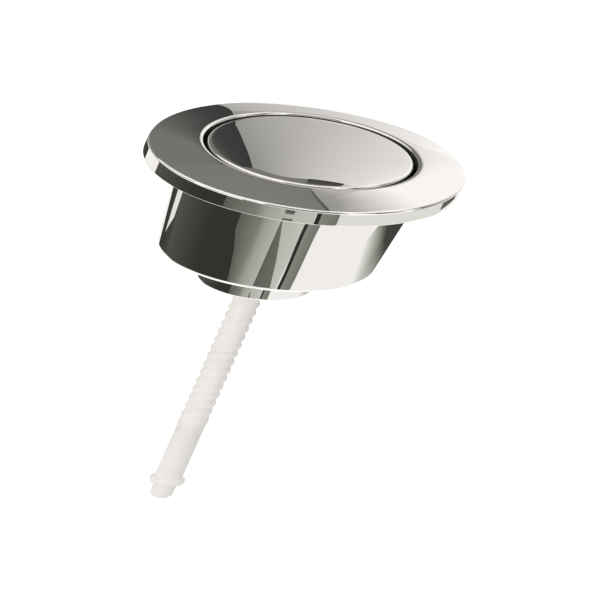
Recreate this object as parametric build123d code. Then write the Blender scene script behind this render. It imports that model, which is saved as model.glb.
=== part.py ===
from build123d import *
import os

# Push button for a cistern lid. A plated cup drops into the hole of the lid and hangs by
# its flange, a domed button slides in the cup's mouth on a plastic plunger and a spring,
# and a rod screwed into the plunger reaches down to the flush valve.
# Millimetres, +Z up. The origin is on the axis, in the plane where the flange meets the lid.

# Flange: a ring that rises to the mouth, with a turned-down rim and a hollow underside
mouth_radius = 20.3
flange_overhang = 6.7
rim_height = 5.1
rim_wall = 2.4
bezel_rise = 2.75
bezel_crown = 0.25
recess_depth = 3.4
rim_edge_radius = 0.8
rim_foot_radius = 0.4
mouth_edge_radius = 0.7

# Cup: tapers from the lid plane to its flat floor
mouth_wall = 3.0
cup_draw = 2.9
cup_depth = 32.8
cup_wall = 2.0
cup_floor = 2.4
cup_edge_radius = 1.8

# Collar under the cup: the well that the spring stands in, with the plunger's guide hole
well_gap = 0.8
collar_height = 9.8
collar_wall = 1.8
collar_floor = 2.4
collar_edge_radius = 0.8

# Button cap: a domed top with a short skirt, and a socket ring underneath
stroke = 12.0
cap_gap = 0.7
cap_recess = 0.5
cap_skin = 1.8
cap_edge_radius = 1.0
dome_rise = 1.85
skirt_length = 6.0
socket_radius = 10.8
socket_wall = 1.6
socket_drop = 7.6

# Plunger: a disc that plugs into the cap, and a guided tubular stem
disc_radius = 16.0
disc_thickness = 2.4
disc_lip = 2.0
disc_lip_wall = 1.4
spigot_height = 3.0
spigot_wall = 1.8
stem_radius = 6.0
stem_reach = 3.0
stem_chamfer = 0.6
rod_socket_depth = 34.0

# Return spring
wire_diameter = 0.9
spring_stem_gap = 1.5
spring_turns = 7
spring_boss_height = 2.5

# Retaining clip, snapped into a groove of the stem under the collar
clip_radius = 8.4
clip_ring_width = 1.7
clip_thickness = 0.8
clip_bite = 1.0
clip_prong_width = 2.8
clip_mouth_width = 9.0

# Push rod: screwed length, plain shank, shouldered tip
thread_radius = 2.8
thread_length = 70.4
rod_engagement = 18.0
rod_top_chamfer = 0.6
shank_radius = 2.6
shank_length = 20.5
shoulder_radius = 3.35
shoulder_flare = 1.1
shoulder_land = 0.9
shoulder_taper = 0.9
nub_radius = 2.2
nub_length = 5.5
nub_end_radius = 1.9

# Seating ring in the hollow under the flange
ring_side_gap = 0.25

# Clearances
slide_clearance = 0.05
plug_clearance = 0.03
thread_clearance = 0.1
stop_clearance = 0.3
clip_clearance = 0.1
groove_clearance = 0.05
spring_boss_clearance = 0.25

# Heights that follow from the sizes above
mouth_z = rim_height + bezel_rise
cup_bottom_z = -cup_depth
floor_z = cup_bottom_z + cup_floor
collar_bottom_z = cup_bottom_z - collar_height
well_floor_z = collar_bottom_z + collar_floor
cap_rim_z = mouth_z - cap_recess
skirt_bottom_z = cap_rim_z - skirt_length
disc_top_z = cap_rim_z - socket_drop
disc_under_z = disc_top_z - disc_thickness
tower_top_z = disc_under_z - stroke - stop_clearance
guide_end_z = skirt_bottom_z - stroke - stop_clearance
clip_top_z = collar_bottom_z - clip_clearance
clip_bottom_z = clip_top_z - clip_thickness
stem_bottom_z = collar_bottom_z - stem_reach
rod_top_z = stem_bottom_z + rod_engagement
thread_end_z = rod_top_z - thread_length
shank_end_z = thread_end_z - shank_length

# Radii that follow from the sizes above
cap_radius = mouth_radius - cap_gap
cup_top_radius = mouth_radius + mouth_wall
cup_bottom_radius = cup_top_radius - cup_draw
flange_radius = cup_top_radius + flange_overhang
spring_radius = stem_radius + spring_stem_gap + wire_diameter / 2
well_radius = spring_radius + wire_diameter / 2 + well_gap
collar_radius = well_radius + collar_wall
groove_radius = stem_radius - clip_bite
cup_taper = cup_draw / cup_depth


def cup_outside(z):
    """Radius of the cup's outer wall at height z."""
    return cup_top_radius + cup_taper * z


def round_corner(point, radius):
    """Rounds the corner of the profile being drawn that lies at point (radius, height)."""
    fillet(vertices().sort_by_distance((*point, 0))[0], radius)


def make_housing():
    """Flange, tapered cup and collar, moulded in one and plated."""
    mouth = (mouth_radius, mouth_z)
    rim_top = (flange_radius, rim_height)
    rim_foot = (flange_radius, 0)
    crown = ((mouth_radius + flange_radius) / 2, (mouth_z + rim_height) / 2 + bezel_crown)
    cup_edge = (cup_bottom_radius, cup_bottom_z)
    collar_edge = (collar_radius, collar_bottom_z)
    guide_hole = stem_radius + slide_clearance
    with BuildPart() as housing:
        with BuildSketch(Plane.XZ):
            with BuildLine():
                ThreePointArc(mouth, crown, rim_top)
                Polyline(
                    rim_top,
                    rim_foot,
                    (flange_radius - rim_wall, 0),
                    (flange_radius - rim_wall, recess_depth),
                    (cup_outside(recess_depth), recess_depth),
                    cup_edge,
                    (collar_radius, cup_bottom_z),
                    collar_edge,
                    (guide_hole, collar_bottom_z),
                    (guide_hole, well_floor_z),
                    (well_radius, well_floor_z),
                    (well_radius, tower_top_z),
                    (collar_radius, tower_top_z),
                    (collar_radius, floor_z),
                    (cup_outside(floor_z) - cup_wall, floor_z),
                    (mouth_radius, guide_end_z),
                    mouth,
                )
            make_face()
            round_corner(rim_top, rim_edge_radius)
            round_corner(rim_foot, rim_foot_radius)
            round_corner(mouth, mouth_edge_radius)
            round_corner(cup_edge, cup_edge_radius)
            round_corner(collar_edge, collar_edge_radius)
        revolve(axis=Axis.Z)
    return housing.part


def make_button_cap():
    """Domed button with a rounded edge, a skirt, and a socket ring for the plunger."""
    inside_radius = cap_radius - cap_skin
    dome_top = (0, cap_rim_z + dome_rise)
    cap_edge = (cap_radius, cap_rim_z)
    under_top = (0, cap_rim_z + dome_rise - cap_skin)
    under_edge = (inside_radius, cap_rim_z - cap_skin)
    with BuildPart() as cap:
        with BuildSketch(Plane.XZ):
            with BuildLine():
                TangentArc(dome_top, cap_edge, tangent=(1, 0))
                Polyline(
                    cap_edge,
                    (cap_radius, skirt_bottom_z),
                    (inside_radius, skirt_bottom_z),
                    under_edge,
                )
                TangentArc(under_top, under_edge, tangent=(1, 0))
                Line(under_top, dome_top)
            make_face()
            round_corner(cap_edge, cap_edge_radius)
        revolve(axis=Axis.Z)
        with BuildSketch(Plane.XY.offset(disc_top_z)):
            Circle(socket_radius + socket_wall)
            Circle(socket_radius, mode=Mode.SUBTRACT)
        extrude(until=Until.NEXT)
    return cap.part


def make_plunger():
    """Disc with a plug for the cap, a boss that centres the spring, and the guided stem."""
    plug_radius = socket_radius - plug_clearance
    boss_radius = spring_radius - wire_diameter / 2 - spring_boss_clearance
    groove_top_z = clip_top_z + groove_clearance
    groove_bottom_z = clip_bottom_z - groove_clearance
    with BuildPart() as plunger:
        with BuildSketch(Plane.XZ):
            with BuildLine():
                Polyline(
                    (0, disc_top_z),
                    (plug_radius - spigot_wall, disc_top_z),
                    (plug_radius - spigot_wall, disc_top_z + spigot_height),
                    (plug_radius, disc_top_z + spigot_height),
                    (plug_radius, disc_top_z),
                    (disc_radius, disc_top_z),
                    (disc_radius, disc_under_z - disc_lip),
                    (disc_radius - disc_lip_wall, disc_under_z - disc_lip),
                    (disc_radius - disc_lip_wall, disc_under_z),
                    (boss_radius, disc_under_z),
                    (boss_radius, disc_under_z - spring_boss_height),
                    (stem_radius, disc_under_z - spring_boss_height),
                    (stem_radius, groove_top_z),
                    (groove_radius, groove_top_z),
                    (groove_radius, groove_bottom_z),
                    (stem_radius, groove_bottom_z),
                    (stem_radius, stem_bottom_z + stem_chamfer),
                    (stem_radius - stem_chamfer, stem_bottom_z),
                    (0, stem_bottom_z),
                    close=True,
                )
            make_face()
        revolve(axis=Axis.Z)
        with BuildSketch(Plane.XY.offset(stem_bottom_z)):
            Circle(thread_radius + thread_clearance)
        extrude(amount=rod_socket_depth, mode=Mode.SUBTRACT)
    return plunger.part


def make_return_spring():
    """Compression spring between the floor of the well and the plunger's disc."""
    wire_radius = wire_diameter / 2
    coil_height = disc_under_z - well_floor_z - wire_diameter
    with BuildPart() as spring:
        with BuildLine() as coil:
            Helix(
                pitch=coil_height / spring_turns,
                height=coil_height,
                radius=spring_radius,
                center=(0, 0, well_floor_z + wire_radius),
            )
        with BuildSketch(Plane(origin=coil.line @ 0, z_dir=coil.line % 0)):
            Circle(wire_radius)
        sweep(path=coil.line, is_frenet=True)
    return spring.part


def make_retaining_clip():
    """Flat open ring with three prongs that bite into the stem's groove."""
    ring_inside = clip_radius - clip_ring_width
    prong_length = clip_radius - groove_radius
    prong_middle = (clip_radius + groove_radius) / 2
    with BuildPart() as clip:
        with BuildSketch(Plane.XY.offset(clip_bottom_z)):
            Circle(clip_radius)
            Circle(ring_inside, mode=Mode.SUBTRACT)
            with PolarLocations(prong_middle, 3, start_angle=90, angular_range=180, endpoint=True):
                Rectangle(prong_length, clip_prong_width)
            Circle(groove_radius + groove_clearance, mode=Mode.SUBTRACT)
            with Locations((clip_radius, 0)):
                Rectangle(clip_radius, clip_mouth_width, mode=Mode.SUBTRACT)
            Circle(clip_radius, mode=Mode.INTERSECT)
        extrude(amount=clip_thickness)
    return clip.part


def make_push_rod():
    """Rod drawn at the crest of its screw thread, with a plain shank and a shouldered tip."""
    flare_end_z = shank_end_z - shoulder_flare
    land_end_z = flare_end_z - shoulder_land
    nub_top_z = land_end_z - shoulder_taper
    nub_end = (nub_radius, nub_top_z - nub_length)
    with BuildPart() as rod:
        with BuildSketch(Plane.XZ):
            with BuildLine():
                Polyline(
                    (0, rod_top_z),
                    (thread_radius - rod_top_chamfer, rod_top_z),
                    (thread_radius, rod_top_z - rod_top_chamfer),
                    (thread_radius, thread_end_z),
                    (shank_radius, thread_end_z),
                    (shank_radius, shank_end_z),
                    (shoulder_radius, flare_end_z),
                    (shoulder_radius, land_end_z),
                    (nub_radius, nub_top_z),
                    nub_end,
                    (0, nub_top_z - nub_length),
                    close=True,
                )
            make_face()
            round_corner(nub_end, nub_end_radius)
        revolve(axis=Axis.Z)
    return rod.part


def make_seating_ring():
    """Foam ring pushed up into the hollow under the flange, flush with the rim's foot."""
    with BuildPart() as ring:
        with BuildSketch(Plane.XZ):
            with BuildLine():
                Polyline(
                    (cup_outside(0) + ring_side_gap, 0),
                    (flange_radius - rim_wall - ring_side_gap, 0),
                    (flange_radius - rim_wall - ring_side_gap, recess_depth),
                    (cup_outside(recess_depth) + ring_side_gap, recess_depth),
                    close=True,
                )
            make_face()
        revolve(axis=Axis.Z)
    return ring.part


pieces = {
    "housing": make_housing(),
    "seating_ring": make_seating_ring(),
    "button_cap": make_button_cap(),
    "plunger": make_plunger(),
    "return_spring": make_return_spring(),
    "retaining_clip": make_retaining_clip(),
    "push_rod": make_push_rod(),
}

os.makedirs("parts", exist_ok=True)
for name, piece in pieces.items():
    export_step(piece, f"parts/{name}.step")
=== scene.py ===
import math

import bmesh
import bpy
import numpy
from mathutils import Matrix, Vector


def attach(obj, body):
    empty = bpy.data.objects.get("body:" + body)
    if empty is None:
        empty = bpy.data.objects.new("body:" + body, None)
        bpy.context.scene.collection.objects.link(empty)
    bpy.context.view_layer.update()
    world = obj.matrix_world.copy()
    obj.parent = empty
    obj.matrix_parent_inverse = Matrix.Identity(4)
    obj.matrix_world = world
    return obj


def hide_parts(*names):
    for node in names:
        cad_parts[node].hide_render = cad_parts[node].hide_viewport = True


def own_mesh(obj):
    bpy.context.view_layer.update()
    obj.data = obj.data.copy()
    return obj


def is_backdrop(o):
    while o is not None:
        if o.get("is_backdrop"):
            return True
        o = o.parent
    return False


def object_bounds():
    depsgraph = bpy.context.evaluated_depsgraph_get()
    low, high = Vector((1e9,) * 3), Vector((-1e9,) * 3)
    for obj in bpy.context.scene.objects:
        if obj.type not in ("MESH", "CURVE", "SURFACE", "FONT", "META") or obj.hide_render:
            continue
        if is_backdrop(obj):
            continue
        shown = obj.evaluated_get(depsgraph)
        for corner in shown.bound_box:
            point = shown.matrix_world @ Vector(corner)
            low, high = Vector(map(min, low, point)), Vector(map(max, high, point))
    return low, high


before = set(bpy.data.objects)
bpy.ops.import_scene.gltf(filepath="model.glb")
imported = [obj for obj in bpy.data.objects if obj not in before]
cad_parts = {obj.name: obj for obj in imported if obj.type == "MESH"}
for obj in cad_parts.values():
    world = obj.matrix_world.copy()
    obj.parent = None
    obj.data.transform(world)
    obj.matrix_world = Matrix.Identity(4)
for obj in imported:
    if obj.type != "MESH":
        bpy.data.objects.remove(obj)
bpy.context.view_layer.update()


# Housing: flange, tapered cup and spring collar, moulded in one from ABS and chrome plated.
# It drops through the hole in the cistern lid and hangs there by the foot of its flange.
# The plating covers the outside and the top of the mouth; further in, the moulding is dull and dark, a
# near black that also paints the shade deep in the gap round the cap.
MM = 0.001  # a millimetre, the unit of the lengths below, in Blender's metres
mouth_radius = 20.3
mouth_z = 7.85
flange_radius = 30.0
rim_height = 5.1
rim_inside = 27.6
recess_depth = 3.4
bezel_crown = 0.25
bezel_steps = 24
bezel_trim = 2
cup_top_radius = 23.3
cup_bottom_radius = 20.4
cup_bottom_z = -32.8
cup_floor_z = -30.4
cup_wall = 2.0
collar_radius = 11.0
collar_bottom_z = -42.6
well_radius = 9.2
well_floor_z = -40.2
tower_top_z = -14.95
guide_end_z = -10.95
guide_hole = 6.05
mouth_rounding = 0.7
rim_rounding = 0.8
foot_rounding = 0.15
cup_rounding = 1.8
cup_floor_rounding = 0.8
tower_foot_rounding = 0.5
collar_rounding = 0.8
soft_rounding = 0.4
fine_rounding = 0.3
tight_rounding = 0.2
plating_depth = 3.5
chrome_colour = (0.91, 0.90, 0.885, 1)
chrome_shade = (0.88, 0.87, 0.855, 1)
# The bare moulding's near black also serves as painted shade in the mouth and the spring's well.
bare_and_shade_colour = (0.045, 0.045, 0.045, 1)
bare_and_shade_speck = (0.075, 0.075, 0.072, 1)


class Link:
    """One socket of a node tree. Sums on it add Math nodes, and node() adds any other node."""

    def __init__(self, tree, socket=None):
        self.tree = tree
        self.socket = socket

    def node(self, kind, settings=None, sockets=None, output=0):
        """Adds a node, sets it up, fills or links its sockets, and gives one of its outputs."""
        made = self.tree.nodes.new(kind)
        for name, value in (settings or {}).items():
            setattr(made, name, value)
        for name, value in (sockets or {}).items():
            if isinstance(value, Link):
                self.tree.links.new(value.socket, made.inputs[name])
            else:
                made.inputs[name].default_value = value
        return Link(self.tree, made.outputs[output] if made.outputs else None)

    def other(self, output):
        """Another output of the same node."""
        return Link(self.tree, self.socket.node.outputs[output])

    def math(self, operation, left, right):
        return self.node("ShaderNodeMath", {"operation": operation}, {0: left, 1: right})

    def __add__(self, value):
        return self.math("ADD", self, value)

    def __radd__(self, value):
        return self.math("ADD", value, self)

    def __mul__(self, value):
        return self.math("MULTIPLY", self, value)

    def __rmul__(self, value):
        return self.math("MULTIPLY", value, self)

    def noise(self, scale, detail):
        """A cloudy pattern over the place that this socket gives."""
        sockets = {"Vector": self, "Scale": scale, "Detail": detail}
        return self.node("ShaderNodeTexNoise", {}, sockets)

    def blend(self, low, high):
        """The colour between two, by this value. A Mix node has its colours at 6, 7 and output 2."""
        return self.node("ShaderNodeMix", {"data_type": "RGBA"}, {0: self, 6: low, 7: high}, output=2)

    def bump(self, depth):
        """The normal of a surface that this value raises, by a depth in millimetres."""
        return self.node("ShaderNodeBump", {}, {"Height": self, "Distance": depth * MM, "Strength": 1.0})


def new_finish(name):
    """An empty material and the place on its surface that its patterns follow, in metres."""
    finish = bpy.data.materials.new(name)
    finish.use_nodes = True
    finish.node_tree.nodes.clear()
    return finish, Link(finish.node_tree).node("ShaderNodeTexCoord", output="Object")


def set_surface(place, **sockets):
    """Ends a material with one Principled surface."""
    named = {name.replace("_", " "): value for name, value in sockets.items()}
    shader = place.node("ShaderNodeBsdfPrincipled", {}, named)
    place.node("ShaderNodeOutputMaterial", {}, {"Surface": shader})


def make_chrome():
    """Bright plating: a mirror with a faint swell in it and a trace of haze."""
    finish, place = new_finish("chrome_plate")
    haze = place.noise(scale=90, detail=3)
    set_surface(
        place,
        Base_Color=place.noise(scale=45, detail=2).blend(chrome_colour, chrome_shade),
        Metallic=1.0,
        Roughness=0.008 + 0.014 * haze,
        Normal=place.noise(scale=110, detail=1).bump(depth=0.002),
    )
    return finish


def make_bare_and_shade_moulding():
    """Moulded ABS that the plating hasn't reached, near black so that it also paints the shade deep in
    the mouth and the well.
    """
    finish, place = new_finish("bare_and_shade_moulding")
    set_surface(
        place,
        Base_Color=place.noise(scale=1500, detail=4).blend(bare_and_shade_colour, bare_and_shade_speck),
        Roughness=0.5 + 0.2 * place.noise(scale=700, detail=2),
    )
    return finish


def arc(start, middle, end, steps):
    """Points of the arc through three points of a profile."""
    (x0, y0), (x1, y1), (x2, y2) = start, middle, end
    a = numpy.array([[x1 - x0, y1 - y0], [x2 - x0, y2 - y0]]) * 2
    b = [x1 ** 2 - x0 ** 2 + y1 ** 2 - y0 ** 2, x2 ** 2 - x0 ** 2 + y2 ** 2 - y0 ** 2]
    cx, cy = numpy.linalg.solve(a, b)
    first = math.atan2(y0 - cy, x0 - cx)
    sweep = math.atan2(y2 - cy, x2 - cx) - first
    sweep = (sweep + math.pi) % (2 * math.pi) - math.pi
    size = math.hypot(x0 - cx, y0 - cy)
    angles = [first + sweep * i / steps for i in range(steps + 1)]
    return [(cx + size * math.cos(t), cy + size * math.sin(t)) for t in angles]


def rounded(corners, closed, steps=8, hold=0.12):
    """Points of a profile whose corners (radius, height, rounding) are rounded off.

    A short straight is held beside each rounding, so that the flat beyond it shades flat.
    """
    points = []
    for i, (x, z, size) in enumerate(corners):
        inner = closed or 0 < i < len(corners) - 1
        if not (size and inner):
            points.append((x, z))
            continue
        corner = Vector((x, z))
        before = (Vector(corners[i - 1][:2]) - corner).normalized()
        after = (Vector(corners[(i + 1) % len(corners)][:2]) - corner).normalized()
        half = before.angle(after) / 2
        reach = size / math.tan(half)
        centre = corner + (before + after).normalized() * (size / math.sin(half))
        start = corner + before * reach
        end = corner + after * reach
        points.append(tuple(start + before * hold))
        bow = centre + (corner - centre).normalized() * size
        points += arc(tuple(start), tuple(bow), tuple(end), steps)
        points.append(tuple(end + after * hold))
    return points


def turn(name, points, closed, around=256, sharp=35):
    """A mesh turned round the object's axis from a profile of (radius, height) in millimetres."""
    shape = bmesh.new()
    verts = [shape.verts.new((x * MM, 0, z * MM)) for x, z in points]
    pairs = list(zip(verts, verts[1:]))
    if closed:
        pairs.append((verts[-1], verts[0]))
    edges = [shape.edges.new(pair) for pair in pairs]
    bmesh.ops.spin(
        shape, geom=verts + edges, axis=(0, 0, 1), cent=(0, 0, 0),
        steps=around, angle=2 * math.pi, use_merge=True,
    )
    bmesh.ops.remove_doubles(shape, verts=shape.verts, dist=1e-7)
    bmesh.ops.dissolve_degenerate(shape, edges=shape.edges, dist=1e-8)
    return finish_mesh(name, shape, sharp)


def finish_mesh(name, shape, sharp):
    """Makes an object of a bmesh, smooth apart from edges sharper than the given angle."""
    bmesh.ops.recalc_face_normals(shape, faces=shape.faces)
    mesh = bpy.data.meshes.new(name)
    shape.to_mesh(mesh)
    shape.free()
    mesh.shade_smooth()
    mesh.set_sharp_from_angle(angle=math.radians(sharp))
    piece = bpy.data.objects.new(name, mesh)
    bpy.context.scene.collection.objects.link(piece)
    return piece


def cup_outside(z):
    """Radius of the cup's outer wall at height z."""
    return cup_top_radius + (cup_top_radius - cup_bottom_radius) * z / -cup_bottom_z


# The crowned bezel leaves off its last points at both ends, where the edges are rounded.
crown = ((mouth_radius + flange_radius) / 2, (mouth_z + rim_height) / 2 + bezel_crown)
bezel = arc((mouth_radius, mouth_z), crown, (flange_radius, rim_height), bezel_steps)
housing_corners = [(x, z, 0) for x, z in bezel[bezel_trim:-bezel_trim]] + [
    (flange_radius, rim_height, rim_rounding),
    (flange_radius, 0, soft_rounding),
    (rim_inside, 0, foot_rounding),
    (rim_inside, recess_depth, fine_rounding),
    (cup_outside(recess_depth), recess_depth, fine_rounding),
    (cup_bottom_radius, cup_bottom_z, cup_rounding),
    (collar_radius, cup_bottom_z, fine_rounding),
    (collar_radius, collar_bottom_z, collar_rounding),
    (guide_hole, collar_bottom_z, tight_rounding),
    (guide_hole, well_floor_z, tight_rounding),
    (well_radius, well_floor_z, fine_rounding),
    (well_radius, tower_top_z, fine_rounding),
    (collar_radius, tower_top_z, fine_rounding),
    (collar_radius, cup_floor_z, tower_foot_rounding),
    (cup_outside(cup_floor_z) - cup_wall, cup_floor_z, cup_floor_rounding),
    (mouth_radius, guide_end_z, 0),
    (mouth_radius, mouth_z, mouth_rounding),
]
housing = turn("housing_shell", rounded(housing_corners, closed=True), closed=True)
chrome = make_chrome()
housing.data.materials.append(chrome)
housing.data.materials.append(make_bare_and_shade_moulding())
# The faces in the mouth below the plating's end, and those of the spring's well, are bare, and their near
# black stands in for the shade that falls there.
plating_end_z = mouth_z - plating_depth
wall_margin = 0.05
floor_margin = 1.0
for face in housing.data.polygons:
    middle = face.center
    radius = math.hypot(middle.x, middle.y) / MM
    height = middle.z / MM
    in_mouth = radius < mouth_radius + wall_margin and cup_floor_z - floor_margin < height < plating_end_z
    in_well = radius < well_radius + wall_margin and height > well_floor_z - floor_margin
    face.material_index = 1 if in_mouth or in_well else 0
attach(housing, "cup_body")
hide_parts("housing")


# Seating ring: a die-cut ring of soft dark foam, pushed up into the hollow under the flange.
# It lets the plated rim sit quietly on the glazed lid.
ring_gap = 0.25
ring_bottom_z = 0.05
ring_rounding = 0.35
foam_dark = (0.035, 0.035, 0.037, 1)
foam_light = (0.10, 0.10, 0.102, 1)


def make_foam():
    """Closed-cell foam, cut through its cells."""
    finish, place = new_finish("foam")
    cells = place.node("ShaderNodeTexVoronoi", {"feature": "F1"}, {"Vector": place, "Scale": 1400})
    set_surface(
        place,
        Base_Color=cells.blend(foam_dark, foam_light),
        Roughness=0.8 + 0.15 * place.noise(scale=300, detail=2),
        Normal=cells.bump(depth=0.3),
    )
    return finish


ring_corners = [
    (cup_top_radius + ring_gap, ring_bottom_z, ring_rounding),
    (rim_inside - ring_gap, ring_bottom_z, ring_rounding),
    (rim_inside - ring_gap, recess_depth, ring_rounding),
    (cup_outside(recess_depth) + ring_gap, recess_depth, ring_rounding),
]
seating_ring = turn("seating_foam", rounded(ring_corners, closed=True, steps=5), closed=True)
seating_ring.data.materials.append(make_foam())
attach(seating_ring, "cup_body")
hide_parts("seating_ring")


# Return spring: seven turns of round spring steel, standing on the floor of the well.
# It lifts the plunger again after a push, and shortens as the button goes down.
wire_radius = 0.45
spring_radius = 7.95
spring_turns = 7
disc_under_z = -2.65
spring_length = disc_under_z - well_floor_z
steel_light = (0.56, 0.56, 0.57, 1)
steel_dark = (0.42, 0.42, 0.44, 1)


def make_steel(name, grain):
    """Steel with the fine streaks of its drawing or rolling, whose scale is grain."""
    finish, place = new_finish(name)
    streaks = place.noise(scale=grain, detail=4)
    set_surface(
        place,
        Base_Color=streaks.blend(steel_light, steel_dark),
        Metallic=1.0,
        Roughness=0.22 + 0.2 * streaks,
        Normal=place.noise(scale=grain * 2, detail=2).bump(depth=0.01),
    )
    return finish


def close_tube(name, shape, rings, sharp):
    """Joins rings of points, one after the other, into a tube with flat ends."""
    for near, far in zip(rings, rings[1:]):
        for k in range(len(near)):
            shape.faces.new((near[k], near[k - 1], far[k - 1], far[k]))
    shape.faces.new(rings[0])
    shape.faces.new(reversed(rings[-1]))
    return finish_mesh(name, shape, sharp)


def make_coil():
    """The wire of the spring, with its ends cut off square."""
    around = 14
    along = 48 * spring_turns
    low = (well_floor_z + wire_radius) * MM
    rise = (spring_length - 2 * wire_radius) * MM
    slope = rise / (2 * math.pi * spring_turns * spring_radius * MM)
    shape = bmesh.new()
    rings = []
    for i in range(along + 1):
        turned = 2 * math.pi * spring_turns * i / along
        outward = Vector((math.cos(turned), math.sin(turned), 0))
        forward = Vector((-math.sin(turned), math.cos(turned), slope)).normalized()
        upward = outward.cross(forward)
        centre = outward * spring_radius * MM + Vector((0, 0, low + rise * i / along))
        ring = []
        for k in range(around):
            t = 2 * math.pi * k / around
            across = outward * math.cos(t) + upward * math.sin(t)
            ring.append(shape.verts.new(centre + across * wire_radius * MM))
        rings.append(ring)
    return close_tube("spring_coil", shape, rings, sharp=50)


spring = make_coil()
spring.data.materials.append(make_steel("spring_steel", grain=900))
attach(spring, "cup_body")
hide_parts("return_spring")
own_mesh(spring)


# Plunger: one moulding in white acetal, a disc with a plug that presses into the cap, and a
# tubular stem that slides in the collar's hole and takes the screwed rod.
plug_radius = 10.77
plug_inside = 8.97
disc_top_z = -0.25
plug_top_z = 2.75
disc_radius = 16.0
lip_inside = 14.6
lip_bottom_z = -4.65
boss_radius = 7.25
boss_bottom_z = -5.15
stem_radius = 6.0
stem_bottom_z = -45.6
stem_rounding = 0.6
groove_radius = 5.0
groove_top_z = -42.65
groove_bottom_z = -43.55
groove_rounding = 0.1
socket_radius = 2.9
socket_top_z = -11.6
acetal_white = (0.80, 0.80, 0.775, 1)
acetal_shade = (0.74, 0.74, 0.72, 1)


def make_acetal():
    """White moulded plastic with faint flow marks."""
    finish, place = new_finish("white_plastic")
    flow = place.noise(scale=160, detail=3)
    set_surface(
        place,
        Base_Color=flow.blend(acetal_white, acetal_shade),
        Roughness=0.36 + 0.14 * place.noise(scale=600, detail=2),
        Normal=place.noise(scale=900, detail=2).bump(depth=0.015),
        Subsurface_Weight=0.15,
        Subsurface_Radius=(1.0, 1.0, 0.9),
        Subsurface_Scale=1.0 * MM,
    )
    return finish


plunger_corners = [
    (0, disc_top_z, 0),
    (plug_inside, disc_top_z, fine_rounding),
    (plug_inside, plug_top_z, tight_rounding),
    (plug_radius, plug_top_z, fine_rounding),
    (plug_radius, disc_top_z, tight_rounding),
    (disc_radius, disc_top_z, soft_rounding),
    (disc_radius, lip_bottom_z, fine_rounding),
    (lip_inside, lip_bottom_z, fine_rounding),
    (lip_inside, disc_under_z, soft_rounding),
    (boss_radius, disc_under_z, fine_rounding),
    (boss_radius, boss_bottom_z, soft_rounding),
    (stem_radius, boss_bottom_z, tight_rounding),
    (stem_radius, groove_top_z, groove_rounding),
    (groove_radius, groove_top_z, groove_rounding),
    (groove_radius, groove_bottom_z, groove_rounding),
    (stem_radius, groove_bottom_z, groove_rounding),
    (stem_radius, stem_bottom_z, stem_rounding),
    (socket_radius, stem_bottom_z, fine_rounding),
    (socket_radius, socket_top_z, fine_rounding),
    (0, socket_top_z, 0),
]
plunger_profile = rounded(plunger_corners, closed=False, steps=5, hold=0.05)
plunger = turn("plunger_stem", plunger_profile, closed=False, around=128)
plunger.data.materials.append(make_acetal())
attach(plunger, "button_body")
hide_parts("plunger")


# Button cap: a slightly domed cap moulded in ABS and chrome plated like the housing.
# Its socket ring presses over the plunger's plug, and its skirt runs in the housing's mouth.
cap_radius = 19.6
cap_rim_z = 7.35
cap_rounding = 1.0
dome_rise = 1.85
dome_inset = 1.4
dome_steps = 30
cap_skin = 1.8
skin_step = 0.9
skin_steps = 5
skirt_inside = cap_radius - cap_skin
skirt_bottom_z = 1.35
cap_socket_inside = 10.8
cap_socket_outside = 12.4


def dome_height(radius, lowered=0.0):
    """Height of the dome at a radius, or of its inner face when lowered by the skin."""
    ball = (cap_radius ** 2 + dome_rise ** 2) / (2 * dome_rise)
    return cap_rim_z + dome_rise - lowered - ball + math.sqrt(ball ** 2 - radius ** 2)


# The profile runs out over the dome, down the skirt and back along the inner face.
dome_rings = [(cap_radius - dome_inset) * i / dome_steps for i in range(dome_steps + 1)]
skin_rings = [cap_socket_outside + skin_step * i for i in range(skin_steps, 0, -1)]
centre_rings = [9.0, 6.0, 3.0, 0.0]
cap_corners = [(r, dome_height(r), 0) for r in dome_rings] + [
    (cap_radius, cap_rim_z, cap_rounding),
    (cap_radius, skirt_bottom_z, fine_rounding),
    (skirt_inside, skirt_bottom_z, fine_rounding),
    (skirt_inside, dome_height(skirt_inside, cap_skin), soft_rounding),
]
cap_corners += [(r, dome_height(r, cap_skin), 0) for r in skin_rings] + [
    (cap_socket_outside, dome_height(cap_socket_outside, cap_skin), fine_rounding),
    (cap_socket_outside, disc_top_z, tight_rounding),
    (cap_socket_inside, disc_top_z, tight_rounding),
    (cap_socket_inside, dome_height(cap_socket_inside, cap_skin), fine_rounding),
]
cap_corners += [(r, dome_height(r, cap_skin), 0) for r in centre_rings]
cap = turn("button_dome", rounded(cap_corners, closed=False), closed=False)
cap.data.materials.append(chrome)
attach(cap, "button_body")
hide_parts("button_cap")


# Retaining clip: a flat open ring stamped from spring steel, with three prongs.
# It snaps into the groove of the stem under the collar, so the spring can't throw the button out.
clip_radius = 8.4
clip_inside = 6.7
clip_tip = 5.05
clip_half_mouth = 4.5
clip_half_prong = 1.4
clip_top_z = -42.7
clip_bottom_z = -43.5
clip_edge = 0.1


def sweep_angles(first, last, steps):
    """Evenly spaced angles from the first to the last."""
    return [first + (last - first) * i / steps for i in range(steps + 1)]


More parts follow.
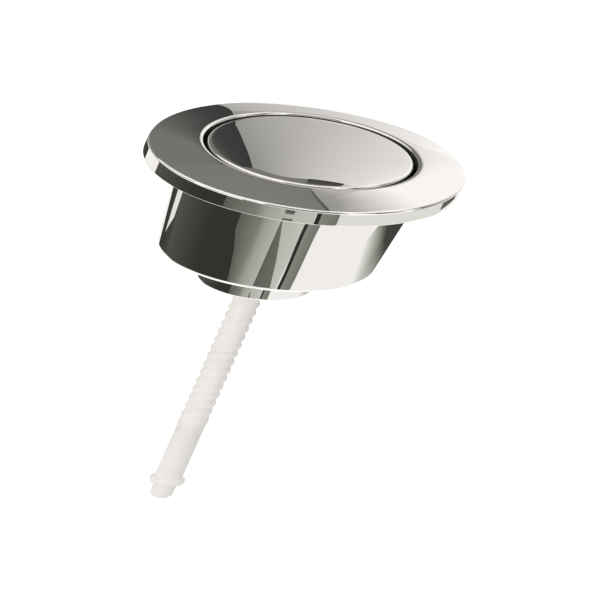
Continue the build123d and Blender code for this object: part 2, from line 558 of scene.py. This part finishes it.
def make_clip():
    """The clip's outline, anticlockwise outside and back along the prongs, given its thickness."""
    outer_end = math.asin(clip_half_mouth / clip_radius)
    inner_end = math.asin(clip_half_mouth / clip_inside)
    root = math.asin(clip_half_prong / clip_inside)
    tip = math.asin(clip_half_prong / clip_tip)
    outside = sweep_angles(outer_end, 2 * math.pi - outer_end, steps=72)
    outline = [(clip_radius, t) for t in outside]
    start = 2 * math.pi - inner_end
    for prong in (1.5 * math.pi, math.pi, 0.5 * math.pi):
        outline += [(clip_inside, t) for t in sweep_angles(start, prong + root, steps=8)]
        outline += [(clip_tip, t) for t in sweep_angles(prong + tip, prong - tip, steps=6)]
        start = prong - root
    outline += [(clip_inside, t) for t in sweep_angles(start, inner_end, steps=8)]
    shape = bmesh.new()
    verts = [
        shape.verts.new((r * math.cos(t) * MM, r * math.sin(t) * MM, clip_bottom_z * MM))
        for r, t in outline
    ]
    base = shape.faces.new(verts)
    raised = bmesh.ops.extrude_face_region(shape, geom=[base])["geom"]
    top = [part for part in raised if isinstance(part, bmesh.types.BMVert)]
    bmesh.ops.translate(shape, verts=top, vec=(0, 0, (clip_top_z - clip_bottom_z) * MM))
    same_height = 1e-7
    rims = [e for e in shape.edges if abs(e.verts[0].co.z - e.verts[1].co.z) < same_height]
    bmesh.ops.bevel(shape, geom=rims, offset=clip_edge * MM, segments=2, profile=0.5, affect="EDGES")
    return finish_mesh("retaining_spring_clip", shape, sharp=40)


clip = make_clip()
clip.data.materials.append(make_steel("clip_steel", grain=500))
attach(clip, "clip_body")
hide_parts("retaining_clip")


# Push rod: moulded in translucent natural plastic, screwed for most of its length.
# It screws up into the plunger to set its reach, and its shouldered tip presses the flush valve.
rod_top_z = -27.6
rod_chamfer = 0.6
screw_top_z = rod_top_z - rod_chamfer
screw_row = 0.2
thread_radius = 2.8
thread_depth = 0.38
thread_pitch = 3.2
thread_end_z = -98.0
thread_run_in = 2.0
thread_run_out = 4.0
groove_fullness = 0.8
shank_radius = 2.6
shank_step = 0.25
shank_end_z = -118.5
flare_rounding = 1.2
flare_end_z = -119.6
shoulder_radius = 3.35
shoulder_rounding = 0.35
land_end_z = -120.5
nub_top_z = -121.4
nub_root_rounding = 0.5
nub_radius = 2.2
nub_end_z = -126.9
nub_rounding = 1.9
tip_flat = 0.4
natural_clear = (0.90, 0.865, 0.825, 1)
natural_milky = (0.86, 0.825, 0.785, 1)


def make_natural_plastic():
    """Unpigmented plastic: milky, with light passing a little way in."""
    finish, place = new_finish("natural_plastic")
    cloud = place.noise(scale=120, detail=3)
    set_surface(
        place,
        Base_Color=cloud.blend(natural_clear, natural_milky),
        Roughness=0.38 + 0.12 * place.noise(scale=500, detail=2),
        Normal=place.noise(scale=1200, detail=2).bump(depth=0.01),
        Subsurface_Weight=0.5,
        Subsurface_Radius=(1.0, 0.95, 0.85),
        Subsurface_Scale=2.0 * MM,
    )
    return finish


def thread_groove(z, turned):
    """How deep the rounded thread is cut at a height and an angle; it runs out at both ends."""
    run_in = min(1.0, max(0.0, (screw_top_z - z) / thread_run_in))
    run_out = min(1.0, max(0.0, (z - thread_end_z) / thread_run_out))
    phase = z / thread_pitch - turned / (2 * math.pi)
    wave = 0.5 - 0.5 * math.cos(2 * math.pi * phase)
    return thread_depth * min(run_in, run_out) * wave ** groove_fullness


def make_rod():
    """The rod in rings from its chamfered top to its tip, with the thread cut into the upper ones."""
    around = 64
    rows = int((screw_top_z - thread_end_z) / screw_row)
    step = (screw_top_z - thread_end_z) / rows
    screw = [(thread_radius, screw_top_z - step * i) for i in range(rows + 1)]
    tip_corners = [
        (shank_radius, thread_end_z - shank_step, 0),
        (shank_radius, shank_end_z, flare_rounding),
        (shoulder_radius, flare_end_z, shoulder_rounding),
        (shoulder_radius, land_end_z, shoulder_rounding),
        (nub_radius, nub_top_z, nub_root_rounding),
        (nub_radius, nub_end_z, nub_rounding),
        (tip_flat, nub_end_z, 0),
    ]
    tip = rounded(tip_corners, closed=False, steps=6, hold=0.03)
    shape = bmesh.new()
    rings = []
    for r, z in [(thread_radius - rod_chamfer, rod_top_z)] + screw + tip:
        threaded = z > thread_end_z and r == thread_radius
        ring = []
        for k in range(around):
            t = 2 * math.pi * k / around
            cut = r - thread_groove(z, t) if threaded else r
            ring.append(shape.verts.new((cut * math.cos(t) * MM, cut * math.sin(t) * MM, z * MM)))
        rings.append(ring)
    return close_tube("screwed_rod", shape, rings, sharp=50)


rod = make_rod()
rod.data.materials.append(make_natural_plastic())
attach(rod, "rod_body")
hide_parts("push_rod")


# Stage: a pale floor far under the hanging part, and surroundings that light it from all sides.
# Both look white to the camera and, where no card hides them, in reflections. The light that they
# give the part is weaker than that.
floor_z = -300.0
floor_half = 6000.0
floor_colour = (0.62, 0.62, 0.62, 1)
floor_glow = 0.6
white_light = 0.74


def white_rays(start):
    """1 for rays that show the surroundings: the camera's, and those in mirrors and clear pieces."""
    path = start.node("ShaderNodeLightPath", output="Is Camera Ray")
    return path + path.other("Is Glossy Ray") + path.other("Is Transmission Ray")


def make_floor():
    """A matt floor that takes the part's shadow and lets a camera below it see through."""
    finish, place = new_finish("pale_floor")
    seen = white_rays(place)
    matt = place.node("ShaderNodeBsdfDiffuse", {}, {"Color": floor_colour})
    glow = place.node("ShaderNodeEmission", {}, {"Strength": seen * floor_glow})
    lit = place.node("ShaderNodeAddShader", {}, {0: matt, 1: glow})
    clear = place.node("ShaderNodeBsdfTransparent")
    underside = place.node("ShaderNodeNewGeometry", output="Backfacing")
    surface = place.node("ShaderNodeMixShader", {}, {0: underside, 1: lit, 2: clear})
    place.node("ShaderNodeOutputMaterial", {}, {"Surface": surface})
    mesh = bpy.data.meshes.new("floor")
    half = floor_half * MM
    z = floor_z * MM
    corners = [(-half, -half, z), (half, -half, z), (half, half, z), (-half, half, z)]
    mesh.from_pydata(corners, [], [(0, 1, 2, 3)])
    mesh.materials.append(finish)
    floor = bpy.data.objects.new("floor", mesh)
    bpy.context.scene.collection.objects.link(floor)
    floor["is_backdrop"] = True


def make_world():
    """Even white surroundings."""
    world = bpy.data.worlds.new("white_surroundings")
    world.use_nodes = True
    world.node_tree.nodes.clear()
    start = Link(world.node_tree)
    strength = white_light + white_rays(start) * (1 - white_light)
    light = start.node("ShaderNodeBackground", {}, {"Color": (1, 1, 1, 1), "Strength": strength})
    start.node("ShaderNodeOutputWorld", {}, {"Surface": light})
    bpy.context.scene.world = world


make_floor()
make_world()


# Cards: plain strips that stand and lie round the part, so that the plating doesn't reflect one
# even white. Only reflections show them. Each is made between two edges, with a tone at each
# edge, and where cards overlap, the one listed first is in front.
card_distance = 3000.0
lying_z = -150.0
edge_steps = 8
least_strips = 12
strip_width = 3
room_tone = 1.06
upright_tint = (1.0, 0.975, 0.93)
lying_tint = (0.98, 1.0, 0.84)
pale_tint = (1.0, 0.982, 0.965)


def side(azimuth, *reaches):
    """A straight edge at one azimuth, through the given heights or distances."""
    return [(azimuth, reach) for reach in reaches]


def straightened(edge, azimuth):
    """The points of an edge, all brought to one azimuth."""
    return side(azimuth, *(reach for old_azimuth, reach in edge))


# Upright cards are given by azimuth (0 in front, 90 to the right) and height in degrees.
flag_edge = [(189, -4), (188.8, 17), (189.5, 22), (190.2, 34), (190.7, 48.8)]
flag_back = [(192.2, -4), (192.2, 20), (193, 26), (194, 36), (194, 48.2)]
wall_edge = [(204, -4), (204, 20), (203, 28), (198.5, 38), (198.5, 48.2)]
trim_edge = [(150, 71.5), (155, 70), (162, 67.6), (168, 64.8), (172.4, 61.3), (175.6, 57.4)]
ceiling_edge = [(147, 72.5)] + trim_edge + [
    (178, 50.9), (181.5, 51.7), (184.5, 51.6), (187.6, 50.4), (190, 48.8), (194, 47), (250, 47),
]
upright_cards = {
    "flag": (flag_edge, 0.046, flag_back, 0.06),
    "wall_fade": (flag_back, 0.06, wall_edge, 0.19),
    "left_wall": (wall_edge, 0.19, straightened(wall_edge, 250), 0.205),
    "dome_trim": ([(170.4, 49.2), (178.4, 50.8)], 0.05, [(170.4, 53), (178.4, 53.5)], 0.1),
    "ceiling_trim": (trim_edge, 0.1, [(azimuth, height + 1.2) for azimuth, height in trim_edge], 0.12),
    "ceiling": (ceiling_edge, 0.21, [(azimuth, 77) for azimuth, height in ceiling_edge], 0.23),
    "back_fade": ([(166.5, 49), (177, 50.5)], 0.68, [(166.5, 60), (177, 56)], 0.38),
    "right_fade": (
        [(143, 47), (150, 47), (158, 46), (166.5, 45)], room_tone,
        [(143, 68), (150, 68), (158, 64), (166.5, 60)], 0.38,
    ),
    "right_grey": (
        [(143, 67.8), (150, 67.8), (158, 63.8), (166.5, 59.8), (177, 55.8)], 0.38,
        [(143, 77), (150, 75), (158, 73), (166.5, 69), (177, 60)], 0.3,
    ),
    "backdrop_low": (side(190, -4, 11.5), 0.43, side(169, -4, 14), 1.02),
    "backdrop": (side(191, 11, 52), 0.31, side(178, 11, 52), 0.62),
    "right_wall": (side(136, -4, 46), 0.8, side(96, -4, 46), 0.16),
    "right_flag": (side(62, 4, 60), 0.06, side(84, 4, 60), 0.2),
    "left_flag": (side(258, -4, 13), 0.6, side(292, -4, 13), 0.1),
    "front_left": (side(-60, -4, 13), 0.1, side(-20, -4, 13), 0.6),
    "front_flag": (side(-16, 6, 30, 52), 0.24, side(42, 6, 30, 52), 0.08),
}
# The right of the backdrop darkens upwards, in narrow bands.
band_edges = [*range(11, 31, 2), 52]
bottom_tone = 0.95
top_tone = 0.82
for i, (low, high) in enumerate(zip(band_edges, band_edges[1:])):
    tone = bottom_tone + (top_tone - bottom_tone) * i / (len(band_edges) - 2)
    fold = side(168.2, low, high)
    upright_cards[f"backdrop_right_{low}"] = (side(178, low, high), 0.62, fold, tone)
    upright_cards[f"backdrop_turn_{low}"] = (fold, tone, side(162, low, high), room_tone)
upright_cards["room"] = (side(-180, -6, 42, 90), room_tone, side(180, -6, 42, 90), room_tone)

# Lying cards are given by azimuth in degrees and distance from the axis in millimetres.
dark_edge = [(-22, 110), (-28, 150), (-33, 163), (-39, 173), (-45, 330)]
line_edge = [(26.3, 110), (25.2, 155), (22.8, 175), (20.8, 330)]
line_back = [(30, 110), (28.6, 155), (26.2, 175), (23.6, 330)]
grey_back = [(40.2, 110), (39.2, 155), (37.6, 175), (36.8, 330)]
shade_front = [(98, 182), (110, 168), (128, 152), (172, 152)]
shade_back = [(106, 200), (118, 196), (132, 191), (172, 190)]
lying_cards = {
    "left_streak": ([(-137, 178), (-131, 206)], 0.85, [(-124, 184), (-118, 206)], 0.85),
    "left_end": (side(-150, 172, 215), 0.035, side(-120, 155, 215), 0.07),
    "left_far": (
        [(-120, 110), (-120, 228), (-114, 236), (-114, 330)], 0.09,
        side(-68, 110, 228, 236, 330), 0.038,
    ),
    "left_dark": (straightened(dark_edge, -68), 0.038, dark_edge, 0.036),
    "left_rim": (side(-172, 238, 252), 0.07, [(-139, 238), (-142, 254)], 0.04),
    "front_brown": (dark_edge, 0.12, straightened(dark_edge, -19), 0.22),
    "front_turn": (side(-19, 110, 330), 0.22, side(-12, 110, 330), 0.38),
    "front_beige": (side(-12, 110, 330), 0.38, side(0, 110, 330), 0.5),
    "front_dark": ([(-1, 145), (0, 160), (0, 179)], 0.13, [(19, 145), (12, 160), (1.5, 179)], 0.16),
    "near_mark": (side(-1, 258, 264), 0.1, side(7, 258, 264), 0.1),
    "far_mark": (side(-1, 267, 272), 0.12, side(6.5, 267, 272), 0.12),
    "front_line": (line_edge, 0.028, line_back, 0.028),
    "front_light": (side(0, 110, 330), 0.5, side(24, 110, 330), 0.6),
    "front_grey": (line_back, 0.26, grey_back, 0.19),
    "right_shade": (shade_front, 0.97, shade_back, 0.06),
    "right_deep": (shade_back, 0.06, [(112, 225), (122, 222), (134, 218), (172, 216)], 0.05),
    "right_rim": (side(128, 249, 258), 0.15, side(150, 247, 256), 0.08),
    "right_pale": (side(36.8, 246, 272), 0.8, side(128, 246, 272), 0.8),
    "table": (side(-180, 80, 340), 0.97, side(180, 80, 340), 0.97),
}
# Beyond the table, three outer cards each go from dark to pale.
for azimuth in (-150, -30, 90):
    dark_side = side(azimuth, 342, 700, 1500)
    lying_cards[f"outer_{azimuth % 360}"] = (dark_side, 0.06, straightened(dark_side, azimuth + 64), 0.95)


def upright_point(azimuth, height):
    """A point of an upright card, on a ball round the object's origin."""
    a = math.radians(azimuth)
    e = math.radians(height)
    outward = Vector((math.sin(a) * math.cos(e), -math.cos(a) * math.cos(e), math.sin(e)))
    return outward * card_distance * MM


def lying_point(azimuth, distance):
    """A point of a lying card, on a level below the object."""
    a = math.radians(azimuth)
    return Vector((math.sin(a) * distance, -math.cos(a) * distance, lying_z)) * MM


def make_card_finish():
    """A glow in the tone that each point of a card carries."""
    finish, place = new_finish("card")
    tone = place.node("ShaderNodeAttribute", {"attribute_name": "tone"}, output="Color")
    glow = place.node("ShaderNodeEmission", {}, {"Color": tone})
    place.node("ShaderNodeOutputMaterial", {}, {"Surface": glow})
    return finish


card_finish = make_card_finish()


def refine(edge):
    """The edge with points between its own, so that a bent card keeps its distance."""
    fine = []
    for a, b in zip(edge, edge[1:]):
        fine += [[p + (q - p) * i / edge_steps for p, q in zip(a, b)] for i in range(edge_steps)]
    return fine + [list(edge[-1])]


def make_card(name, first, first_tone, last, last_tone, point, dark_tint, lift):
    """A card in narrow strips from its first edge to its last, for reflections alone."""
    first = refine(first)
    last = refine(last)
    strips = max(least_strips, round(abs(last[0][0] - first[0][0]) / strip_width))
    verts = []
    tones = []
    for i in range(strips + 1):
        share = i / strips
        for a, b in zip(first, last):
            spot = [p + (q - p) * share for p, q in zip(a, b)]
            verts.append(point(*spot) * lift)
            tones.append(first_tone + (last_tone - first_tone) * share)
    row = len(first)
    faces = []
    for i in range(strips):
        for k in range(row - 1):
            at = i * row + k
            faces.append((at, at + 1, at + row + 1, at + row))
    mesh = bpy.data.meshes.new(name)
    mesh.from_pydata(verts, [], faces)
    colours = mesh.color_attributes.new("tone", "FLOAT_COLOR", "POINT")
    for entry, tone in zip(colours.data, tones):
        share = min(tone, 1.0)
        tints = [dark + (pale - dark) * share for dark, pale in zip(dark_tint, pale_tint)]
        entry.color = (*(tone * tint for tint in tints), 1)
    mesh.materials.append(card_finish)
    card = bpy.data.objects.new(name, mesh)
    bpy.context.scene.collection.objects.link(card)
    card.visible_camera = False
    card.visible_diffuse = False
    card.visible_transmission = False
    card.visible_shadow = False
    card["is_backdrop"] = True


def make_cards(cards, point, dark_tint, spacing):
    """Makes cards in their order, each a little behind the one before it."""
    for i, (name, (first, first_tone, last, last_tone)) in enumerate(cards.items()):
        lift = 1 + spacing * i
        make_card("card_" + name, first, first_tone, last, last_tone, point, dark_tint, lift)


make_cards(upright_cards, upright_point, upright_tint, spacing=0.002)
make_cards(lying_cards, lying_point, lying_tint, spacing=0.0002)


# Lamps: two soft panels aimed at the part, one in front to the left and one above.
# Reflections don't show them.


def make_lamp(name, place, size, power):
    """A square lamp that faces the object's origin, with its power in watts."""
    data = bpy.data.lights.new(name, "AREA")
    data.size = size * MM
    data.energy = power
    lamp = bpy.data.objects.new(name, data)
    lamp.location = Vector(place) * MM
    lamp.rotation_mode = "QUATERNION"
    lamp.rotation_quaternion = (-Vector(place)).to_track_quat("-Z", "Y")
    lamp.visible_glossy = False
    bpy.context.scene.collection.objects.link(lamp)


make_lamp("key_lamp", place=(-500, -1100, 0), size=700, power=4.8)
make_lamp("top_lamp", place=(300, 200, 1400), size=900, power=4.5)


# Camera: looks down on the part from the front, leaning over as the photograph does.
# The picture is wider than the round part really looks, so the camera hangs in a squeezed rig
# that widens the view; the rig's squeeze is across the picture only.
view_height = math.radians(33.31)
view_lean = math.radians(14.69)
view_target = (9.6, 0, -46.96)
view_distance = 3000.0
view_widening = 1.6958
view_lens = 570.25
view_sensor = 36.0


def make_camera():
    """The camera in its rig, at its distance from the target."""
    forward = Vector((0, math.cos(view_height), -math.sin(view_height)))
    right = Vector((1, 0, 0))
    upward = right.cross(forward)
    across = right * math.cos(view_lean) + upward * math.sin(view_lean)
    along = upward * math.cos(view_lean) - right * math.sin(view_lean)
    level = Matrix((across, along, -forward)).transposed()
    slant = math.sqrt(1 - 1 / view_widening ** 2)
    squeeze = Matrix(((1 / view_widening, 0, 0), (0, 1, 0), (slant, 0, 1)))
    # A squeeze between two turns: the rig holds the first turn and the squeeze, the camera the last.
    turn_out, sizes, turn_in = numpy.linalg.svd(numpy.array(level @ squeeze))
    if numpy.linalg.det(turn_out) < 0:
        turn_out[:, 2] *= -1
        turn_in[2] *= -1
    rig = bpy.data.objects.new("camera_rig", None)
    bpy.context.scene.collection.objects.link(rig)
    placed = Matrix((turn_out * sizes).tolist()).to_4x4()
    placed.translation = (Vector(view_target) - forward * view_distance) * MM
    rig.matrix_world = placed
    data = bpy.data.cameras.new("camera")
    data.lens = view_lens
    data.sensor_width = view_sensor
    camera = bpy.data.objects.new("camera", data)
    bpy.context.scene.collection.objects.link(camera)
    camera.parent = rig
    camera.matrix_local = Matrix(turn_in.tolist()).to_4x4()
    bpy.context.scene.camera = camera


make_camera()
bpy.context.scene.view_settings.view_transform = "Standard"

bpy.context.view_layer.update()
low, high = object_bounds()
